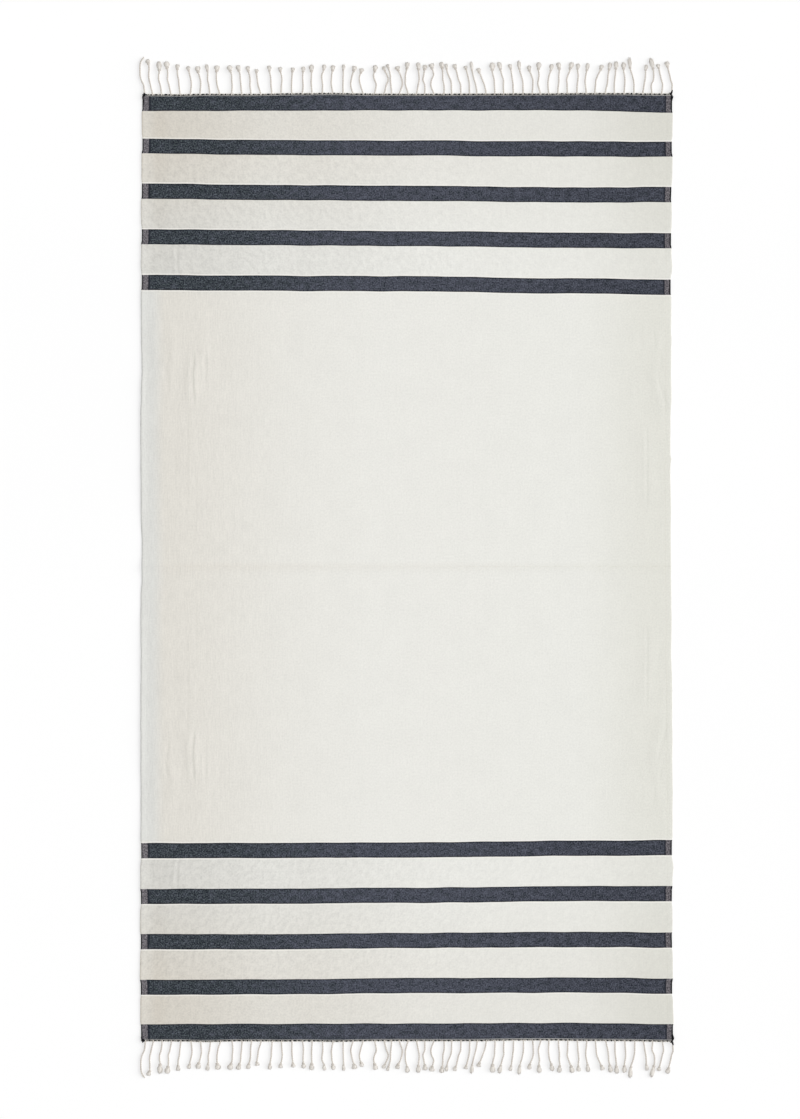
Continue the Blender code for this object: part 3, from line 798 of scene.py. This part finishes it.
def make_edge_row(name, mirror, row, whip, thread):
    """The whipped end of the cloth: a flat grey roll, cream wraps round it, and navy stitches."""
    draw = random.Random(SEED * 2 + mirror)
    left, right = selvedge(mirror * END, -1), selvedge(mirror * END, 1)
    middle = END - EDGE_ROW / 2
    mesh = Mesh()
    xs = stations(left, WHIP_PITCH, right)
    rings = []
    for x in xs:
        reach = EDGE_ROW / 2 - 0.0001 + 0.0001 * (0.5 + 0.5 * sin(2 * pi * x / WHIP_PITCH))
        places = [(middle + cos(a) * reach, ROLL_MIDDLE + sin(a) * ROLL_RADIUS) for a in circle(ROLL_SIDES)]
        rings.append([Vector((x, mirror * y, z)) for y, z in places])
    mesh.skin(rings, xs, (inset(0), 0.01, inset(1), 0.21), inside_out=mirror > 0)

    def spread(pitch, margin, jitter):
        """The number, X and share of the length of each of these yarns, and the share where it ends."""
        count = int((right - left - 2 * margin) / pitch)
        for i in range(count):
            x = left + margin + (i + 0.5) * pitch + draw.uniform(-jitter, jitter)
            yield i, x, inset(i / count), inset((i + 0.9) / count)

    for i, x, start, stop in spread(WHIP_PITCH, WHIP_MARGIN, 0.0003):
        slant = 0.0012 + draw.uniform(-0.0003, 0.0003)
        path = []
        for share in shares(len(WHIP_TAPER) - 1):
            angle = pi * (-0.12 + 0.64 * share)
            y = middle + 0.0001 + cos(angle) * (EDGE_ROW / 2 + 0.00015)
            z = max(0.0005, 0.0010 + sin(angle) * 0.00125)
            path.append(Vector((x + slant * (share - 0.5) * 2, mirror * y, z)))
        radii = [WHIP_RADIUS * r for r in WHIP_TAPER]
        tube(mesh, path, radii, (start, 0.24, stop, 0.60), kind=1, offset=i * 0.37)
    for i, x, start, stop in spread(STITCH_PITCH, STITCH_MARGIN, 0.0011):
        long = draw.uniform(0.0011, 0.0020)
        slant = draw.uniform(-0.0001, 0.0009)
        y = END - 0.0014 + draw.uniform(-0.0006, 0.0005)
        thick = draw.uniform(0.00115, 0.00150)
        path = [Vector((x + long * s, mirror * (y + slant * s), STITCH_TOP - 0.0005 * s * s))
                for s, _ in STITCH_TAPER]
        radii = [thick * r for _, r in STITCH_TAPER]
        tube(mesh, path, radii, (start, 0.64, stop, 0.98), sides=7, kind=2, offset=i * 0.41)
    for point in mesh.points:
        point.y += mirror * end_stray(point.x, mirror)
    return mesh.build(name, row, whip, thread)


class LooseThread(NamedTuple):
    """A navy thread at a corner of the towel, in millimetres."""

    side: int  # -1 at the left corner, 1 at the right one
    places: tuple  # in from the selvedge, out from the end, and up
    radii: tuple


KNOT_COILS = 3
LOOSE_THREADS = table(
    LooseThread,
    (-1, ((3.6, -1.6, 2.4), (2.0, -4.0, 2.6), (1.2, -6.4, 2.5), (1.4, -9.0, 2.2), (2.4, -12.0, 1.8),
          (2.2, -17.0, 1.8), (2.0, -24.0, 1.7)), (1.2, 1.3, 1.4, 1.2, 0.9, 0.8, 0.6)),
    (-1, ((4.4, -0.9, 3.0), (3.6, 1.0, 2.9), (3.0, 2.8, 2.4)), (1.5, 1.2, 0.5)),
    (1, ((3.6, -1.8, 2.4), (2.6, -0.4, 3.8), (1.4, 2.4, 5.0), (0.2, 6.0, 4.8)), (1.4, 1.8, 1.6, 0.8)),
    (1, ((2.6, -0.8, 2.8), (4.4, 0.4, 2.6), (6.0, 1.4, 2.0)), (1.1, 1.0, 0.5)),
    (1, ((2.4, -1.4, 2.2), (0.8, -4.0, 2.6), (-0.3, -6.5, 2.5), (0.4, -10.0, 2.1), (1.2, -14.5, 1.8)),
     (1.5, 1.1, 1.4, 1.1, 0.6)),
)


def knot_coil(turn):
    """One coil of the knot in the left corner's thread."""
    places = []
    for k in range(7):
        angle = 2 * pi * k / 6 + turn * 2.1
        places.append((4.1 + 1.3 * cos(angle), -1.3 + 1.3 * sin(angle), 2.3 + 0.8 * sin(angle * 2 + turn)))
    return LooseThread(-1, places, (1.4, 1.6, 1.4))


def curve_through(points, steps):
    """A smooth path through the points."""
    path = []
    for i in range(len(points) - 1):
        a, b = points[max(i - 1, 0)], points[i]
        c, d = points[i + 1], points[min(i + 2, len(points) - 1)]
        for k in range(steps):
            t = k / steps
            turns = (2 * a - 5 * b + 4 * c - d) * t * t + (3 * b - a - 3 * c + d) * t ** 3
            path.append(0.5 * (2 * b + (c - a) * t + turns))
    return path + [points[-1]]


def make_corner_threads(name, mirror, thread):
    """At one end: a knotted thread at the left corner, and a short split tuft at the right one."""
    draw = random.Random(SEED * 3 + mirror)
    mesh = Mesh()
    for loose in [knot_coil(turn) for turn in range(KNOT_COILS)] + LOOSE_THREADS:
        corner = selvedge(mirror * END, loose.side)
        points = []
        for inward, out, up in loose.places:
            x = corner - loose.side * inward * MM
            points.append(Vector((x, mirror * (END + end_stray(x, mirror) + out * MM), up * MM)))
        path = curve_through(points, 5)
        radii, last = loose.radii, len(loose.radii) - 1
        spots = [share * last for share in shares(len(path) - 1)]
        sizes = [blend(radii[int(f)], radii[min(int(f) + 1, last)], f - int(f)) * MM for f in spots]
        low = draw.uniform(0.05, 0.8)
        tube(mesh, path, sizes, (0.05, low, 0.95, low + 0.12), offset=low)
    return mesh.build(name, thread)


# Materials.


def linear(colour):
    """A colour's 0 to 255 screen values as the linear ones that a shader takes."""
    return (*(((c / 255 + 0.055) / 1.055) ** 2.4 for c in colour), 1.0)


class Value:
    """A number that varies over a surface; arithmetic with it adds nodes to its material."""

    def __init__(self, shader, socket):
        self.shader, self.socket = shader, socket

    def __add__(self, other):
        return self.shader.math("ADD", self, other)

    def __sub__(self, other):
        return self.shader.math("SUBTRACT", self, other)

    def __rsub__(self, other):
        return self.shader.math("SUBTRACT", other, self)

    def __mul__(self, other):
        return self.shader.math("MULTIPLY", self, other)

    def __mod__(self, other):
        return self.shader.math("FLOORED_MODULO", self, other)

    def __abs__(self):
        return self.shader.math("ABSOLUTE", self)

    __radd__, __rmul__ = __add__, __mul__

    def wave(self, length):
        return self.shader.math("SINE", self * (2 * pi / length))

    def ease(self, low, high, to_low=0.0, to_high=1.0):
        """A soft step from to_low, where this is low, to to_high, where it is high."""
        inputs = dict(enumerate((self, low, high, to_low, to_high)))
        return self.shader.add("MapRange", inputs, interpolation_type="SMOOTHSTEP")

    def between(self, low, full_low, full_high, high):
        """1 from full_low to full_high, easing to 0 at low and at high."""
        return self.ease(low, full_low) * self.ease(high, full_high)

    def choose(self, a, b):
        """a where this is 0, b where it is 1."""
        return self.shader.add("Mix", {0: self, 2: a, 3: b})

    def colour(self, a, b):
        """The same for two colours, each made by another node or a table of screen values."""
        a, b = (c if isinstance(c, Value) else linear(c) for c in (a, b))
        return self.shader.add("Mix", {0: self, 6: a, 7: b}, 2, data_type="RGBA")


class Shader:
    """A matt fabric material under construction."""

    def __init__(self, name, roughness=0.95, specular=0.15, sheen=0.0):
        self.material = bpy.data.materials.new(name)
        self.material.use_nodes = True
        self.nodes = self.material.node_tree.nodes
        self.surface = self.nodes["Principled BSDF"]
        for name, value in (("Roughness", roughness), ("Specular IOR Level", specular),
                            ("Sheen Weight", sheen), ("Sheen Roughness", 0.6)):
            self.feed(self.surface, name, value)

    def feed(self, node, name, value):
        """A number, a colour or what another node makes, for one of the node's inputs."""
        if isinstance(value, Value):
            self.material.node_tree.links.new(value.socket, node.inputs[name])
        else:
            node.inputs[name].default_value = value

    def add(self, kind, inputs, output=0, **settings):
        """What a new node makes of its inputs."""
        node = self.nodes.new("ShaderNode" + kind)
        for name, value in settings.items():
            setattr(node, name, value)
        for name, value in inputs.items():
            self.feed(node, name, value)
        return Value(self, node.outputs[output])

    def math(self, operation, *values):
        return self.add("Math", dict(enumerate(values)), operation=operation)

    def place(self):
        """The two numbers of a place on the piece's own map."""
        spot = self.add("UVMap", {}, uv_map="pattern")
        return [self.add("SeparateXYZ", {0: spot}, i) for i in (0, 1)]

    def speckle(self, x, y, scale_x, scale_y, seed, detail=2.0):
        """Smooth noise from about -0.5 to 0.5, with features of these sizes; each use has its own seed."""
        spot = self.add("CombineXYZ", {0: x * (1 / scale_x), 1: y * (1 / scale_y), 2: seed})
        return self.add("TexNoise", {"Vector": spot, "Scale": 1.0, "Detail": detail}) - 0.5

    def fuzz(self, along, around, girth, size, seed):
        """Loose fibres on a yarn of that girth."""
        return self.speckle(along, around * girth, size, size, seed, detail=3.0)

    def twist(self, along, around, pitch):
        """The yarn's own fine twist."""
        return self.math("SINE", along * (2 * pi / pitch) + around * (4 * pi))

    def finish(self, colour, height=None, depth=0.0001):
        self.feed(self.surface, "Base Color", colour)
        if height is not None:
            bump = self.add("Bump", {"Strength": 1.0, "Distance": depth, "Height": height})
            self.feed(self.surface, "Normal", bump)
        return self.material


THREAD_PITCH = 0.0008
GRAIN_MIDDLE = 0.06  # the share of its light that the cream loses, on average, to its texture
BORDER = 0.0021  # width of the dark and the light line on either side of a stripe's border
BORDER_SOFT = 0.00035
BORDER_RAGGED = 0.0007


def woven_cotton():
    """Cream plain weave, with the navy stripes and their selvedge bands.

    Places are in metres on the flat cloth from its middle: u across, v along, and up along either way.
    """
    s = Shader("woven_cotton", roughness=0.95, specular=0.12, sheen=0.08)
    u, v = s.place()
    up = abs(v)
    from_left, from_right = u + WIDTH / 2, WIDTH / 2 - u
    at_left, at_right = u.ease(-0.10, -0.42), u.ease(0.0, 0.35)
    banded = up.ease(STRIPES_START - 0.010, STRIPES_START + 0.010)
    inner = up.ease(0.82, 0.56, 0.0, 0.9)

    # How far outside the nearest stripe, less than nothing inside it.
    outside = abs((up - STRIPES_START) % STRIPE_PITCH - STRIPE_WIDTH / 2) - STRIPE_WIDTH / 2
    in_end = s.math("GREATER_THAN", up, LAST_START + STRIPE_WIDTH / 2)
    in_panel = s.math("LESS_THAN", up, STRIPES_START)
    outside = in_panel.choose(in_end.choose(outside, LAST_START - up), STRIPES_START - up)
    outside += BORDER_RAGGED * s.speckle(u, v, 0.0018, 0.0018, 1.0)
    on_stripe = outside.ease(BORDER_SOFT, -BORDER_SOFT)
    dark_line = outside.ease(-BORDER * 1.3, -BORDER * 0.5) * on_stripe
    light_line = outside.ease(BORDER * 1.5, BORDER * 0.7)

    # Threads over and under each other, drawn as a soft chequer, and what makes them uneven.
    chequer = u.wave(2 * THREAD_PITCH) * v.wave(2 * THREAD_PITCH)
    fibre = s.speckle(u, v, 0.0009, 0.0009, 2.0)
    grain = s.speckle(u, v, 0.0034, 0.0036, 3.0, detail=3.0)
    mottle = s.speckle(u, v, 0.0025, 0.0027, 8.0)
    cloud = s.speckle(u, up, 0.045, 0.050, 4.0)
    slub = s.speckle(u, v, 0.055, 0.0022, 6.0)
    streak = s.speckle(u, up, 0.0060, 0.160, 5.0) * at_left.choose(0.3, 0.9)
    dash = s.speckle(u, v, 0.0023, 0.0220, 11.0) * at_left.choose(0.35, banded.choose(1.2, 0.5))
    blotch = s.speckle(0.8 * u + 0.6 * up, 0.8 * up - 0.6 * u, 0.0075, 0.0130, 7.0) * banded
    blotch *= up.ease(0.82, 0.76, 1.15, 1.8) * u.ease(0.40, -0.48, 0.35, 1.0)

    # The share of its light that the cream loses to its texture.
    lost = (0.090 * fibre + 0.190 * grain) * banded.choose(1.0, u.ease(-0.45, 0.35, 1.8, 0.85))
    lost += GRAIN_MIDDLE + 0.018 * chequer + 0.045 * cloud + 0.022 * slub
    lost += 0.070 * streak + 0.160 * dash + 0.170 * blotch

    # The cream's shade: a base tone; painted shade along the fold and its broken crease line and towards both
    # sides; painted light and shade on a valley near the left selvedge in the bands; a painted shadow along
    # the left rim; and a line in the weave near the right selvedge.
    fold = up.ease(0.013, 0.0) * abs(u).ease(0.52, 0.25, 0.35, 1.0)
    painted_fold_crease_shade = abs(v - 0.0008).ease(0.0019, 0.0005) * s.speckle(u, v, 0.016, 0.004, 10.0).ease(-0.10, 0.12)
    # Painted shade: the cream darker towards the left and the right selvedges, in the panel and in the bands,
    # and in the bands a little left of the middle too.
    sides = u.ease(-0.02, -0.30, 0.0, 0.18) + u.ease(-0.20, -0.47, 0.0, 0.36) + u.ease(0.30, 0.49, 0.0, 0.47)
    sides *= banded.choose(0.87, u.ease(-0.1, 0.2, 1.35, up.ease(0.55, 0.84, 0.75, 1.2)))
    painted_shade_left_of_middle = u.ease(-0.27, -0.18) * u.ease(0.06, -0.10, 0.0, 0.16)
    # Painted light on the outer slope of a valley near the left selvedge, and painted shade on its inner
    # slope.
    valley_painted_shade_and_light = u.ease(-0.486, -0.469, -0.12, 0.10) * u.ease(-0.445, -0.461) * up.ease(0.56, 0.66, 0.4, 1.0)
    # A painted shadow along the left rim, and a line in the weave near the right selvedge.
    painted_rim_shadow_and_weave_line = from_left.ease(0.0030, 0.0016, 0.0, 0.50)
    painted_rim_shadow_and_weave_line += 0.16 * from_right.between(0.0094, 0.0106, 0.0106, 0.0118)
    shade = 0.13 + 0.12 * fold + 0.22 * painted_fold_crease_shade * u.ease(0.02, 0.20, 0.35, 1.0)
    shade += sides + (painted_shade_left_of_middle + valley_painted_shade_and_light) * banded + painted_rim_shadow_and_weave_line
    light = banded.colour(CREAM, inner.colour(CREAM_BAND, CREAM))
    # The colours that the cream goes to under its painted shade.
    cool = u.ease(-0.452, -0.482, 0.0, 0.9)
    panel_painted_shade = at_right.colour(cool.colour(CREAM_PAINTED_SHADE, CREAM_PAINTED_SHADE_COOL), CREAM_PAINTED_SHADE_RIGHT)
    band_painted_shade = (0.7 * inner).colour(CREAM_BAND_PAINTED_SHADE, CREAM_PAINTED_SHADE_COOL)
    band_painted_shade = at_right.colour(band_painted_shade, CREAM_BAND_PAINTED_SHADE_RIGHT)
    cream = shade.colour(light, banded.colour(panel_painted_shade, band_painted_shade))
    cream = (0.75 * light_line).colour(cream, CREAM_LIGHT)
    cream = (lost * (1.0 - 0.75 * light_line)).colour(cream, BLACK)

    # Navy, through which the cream warp shows as specks.
    tint = s.speckle(u, up, 0.012, 0.009, 9.0)
    # Painted shade: the navy darker towards the right, and a little towards the left.
    dark = u.ease(0.05, 0.47, 0.56, 0.66) + 0.45 * dark_line + 0.8 * tint + 0.15 * at_left
    dark -= mottle * at_left.choose(2.05, 3.0)
    greenish = u.ease(-0.05, -0.45, 0.0, 0.60) + 1.6 * tint
    blue = dark.colour(greenish.colour(NAVY, NAVY_GREENISH), NAVY_DARK)
    speck = (chequer + 3.0 * fibre).ease(0.5, 1.3, 0.0, 0.26) * (1.0 - 0.8 * dark_line)
    blue = speck.colour(blue, NAVY_SPECK)

    # The selvedge bands on the stripes: dark, grey, dark.
    rim = from_left.ease(0.0170, 0.0155) + from_right.ease(0.0152, 0.0140)
    grey = from_left.between(0.0016, 0.0024, 0.0118, 0.0126)
    grey += from_right.between(0.0022, 0.0030, 0.0111, 0.0119)
    outermost = from_left.ease(0.0022, 0.0014) + from_right.ease(0.0030, 0.0022)
    tone = u.ease(-0.4, 0.4, 0.40, 0.34) + 0.12 * v.wave(0.0024) + 2.3 * mottle
    blue = (0.75 * rim).colour(blue, NAVY_DARK)
    blue = grey.colour(blue, tone.colour(BAND_DARK, BAND_LIGHT))
    blue = (0.95 * outermost).colour(blue, THREAD)

    height = 0.5 + 0.35 * chequer + 0.8 * fibre + 1.2 * grain + 2.2 * blotch
    return s.finish(on_stripe.colour(cream, blue), height, 0.00016)


def ecru_yarn(name, light, shade, pitch):
    """Twisted yarn: fine slanting lines of fibre, a little fuzz, and each strand a little different."""
    s = Shader(name, roughness=0.9, specular=0.15, sheen=0.15)
    along, around = s.place()
    twist, fuzz = s.twist(along, around, pitch), s.fuzz(along, around, 0.004, 0.0011, 1.0)
    dark = 0.32 + 0.10 * twist + 0.7 * fuzz + 0.7 * s.speckle(along, 0.0, 0.030, 1.0, 2.0)
    return s.finish(dark.colour(light, shade), 0.5 + 0.4 * twist + 0.8 * fuzz, 0.00012)


def row_cotton():
    """The grey roll under the whipping: navy and cream threads side by side."""
    s = Shader("edge_row_cotton", roughness=0.95, specular=0.12)
    along, around = s.place()
    rib, fuzz = along.wave(0.0015), s.fuzz(along, around, 0.010, 0.0015, 3.0)
    return s.finish((0.45 + 0.16 * rib + fuzz).colour(ROW_LIGHT, ROW_DARK), 0.5 * rib + fuzz, 0.00012)


def dark_thread():
    """Navy sewing thread, nearly black, with its twist."""
    s = Shader("navy_thread", roughness=0.85, specular=0.2)
    along, around = s.place()
    twist, fuzz = s.twist(along, around, 0.0009), s.fuzz(along, around, 0.004, 0.0010, 5.0)
    return s.finish((0.40 + 0.15 * twist + 0.9 * fuzz).colour(THREAD, THREAD_LIGHT), twist, 0.00010)


LAMP_X = 0.18
LAMP_HEIGHT = 5.0
FLOOR_REACH = 9.0
FLOOR_GLOW, GLOW_GROWTH = 0.069, 0.0225  # under the lamp, and for each square metre of the distance squared
CAMERA_HEIGHT = 6.0
SENSOR = 36.0
VIEW_HEIGHT = 2.1116  # metres of the surface that the photograph's height takes in
VIEW_MIDDLE = (-0.0113, 0.0140)


def pale_floor():
    """White paper; it glows a little more away from the lamp, which keeps the background even."""
    s = Shader("studio_floor", roughness=0.9, specular=0.0)
    place = s.add("NewGeometry", {}, "Position")
    apart = s.add("VectorMath", {0: place, 1: (LAMP_X, 0.0, 0.0)}, "Value", operation="DISTANCE")
    s.feed(s.surface, "Emission Color", (1, 1, 1, 1))
    s.feed(s.surface, "Emission Strength", FLOOR_GLOW + GLOW_GROWTH * (apart * apart))
    return s.finish(s.add("TexNoise", {"Vector": place, "Scale": 1.5}).colour(FLOOR_LIGHT, FLOOR_SHADE))


# The studio.


def make_light(name, kind, place, at, energy):
    lamp = bpy.data.lights.new(name, kind)
    lamp.energy = energy
    light = add_object(name, lamp)
    light.location = place
    light.rotation_euler = (Vector(at) - light.location).to_track_quat("-Z", "Y").to_euler()
    return lamp


def make_studio():
    scene = bpy.context.scene
    floor = bpy.data.meshes.new("studio_floor")
    corners = [(x * FLOOR_REACH, y * FLOOR_REACH, 0) for x, y in ((-1, -1), (1, -1), (1, 1), (-1, 1))]
    floor.from_pydata(corners, [], [(0, 1, 2, 3)])
    floor.materials.append(pale_floor())
    add_object("studio_floor", floor)
    world = bpy.data.worlds.new("studio")
    world.use_nodes = True
    background = world.node_tree.nodes["Background"]
    background.inputs["Color"].default_value = (1.0, 1.0, 1.0, 1.0)
    background.inputs["Strength"].default_value = 0.48
    scene.world = world
    overhead = make_light("overhead", "AREA", (LAMP_X, 0.0, LAMP_HEIGHT), (LAMP_X, 0.0, 0.0), 100)
    overhead.shape = "RECTANGLE"
    overhead.size, overhead.size_y = 2.2, 2.8
    raking = make_light("raking", "SUN", (4.0, 0.3, 1.46), (0.0, 0.0, 0.0), 1.5)
    raking.angle = radians(40)
    scene.view_settings.view_transform = "Standard"
    scene.view_settings.look = "None"
    lens = bpy.data.cameras.new("camera")
    lens.sensor_width = SENSOR
    lens.lens = SENSOR * CAMERA_HEIGHT / VIEW_HEIGHT
    scene.camera = add_object("camera", lens)
    scene.camera.location = (*VIEW_MIDDLE, CAMERA_HEIGHT)


def main():
    cloth = make_cloth(woven_cotton())
    yarn = ecru_yarn("ecru_cord", CORD_LIGHT, CORD_SHADE, 0.0024)
    loose_yarn = ecru_yarn("ecru_tuft", TUFT_LIGHT, TUFT_SHADE, 0.0014)
    whip = ecru_yarn("cream_whipping", WHIP_LIGHT, WHIP_SHADE, 0.0016)
    row, thread = row_cotton(), dark_thread()
    trims = []
    for end, mirror in (("top", 1), ("bottom", -1)):
        fringe = make_fringe(f"fringe_{end}_cords", mirror, yarn, loose_yarn)
        edge_row = make_edge_row(f"edge_row_{end}", mirror, row, whip, thread)
        threads = make_corner_threads(f"corner_threads_{end}", mirror, thread)
        for piece in (fringe, edge_row, threads):
            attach(piece, "root")
        for piece in (fringe, edge_row):
            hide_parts(f"fringe_{end}")
        trims += [fringe, edge_row, threads]
    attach(cloth, "root")
    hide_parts("towel_cloth")
    make_studio()


main()
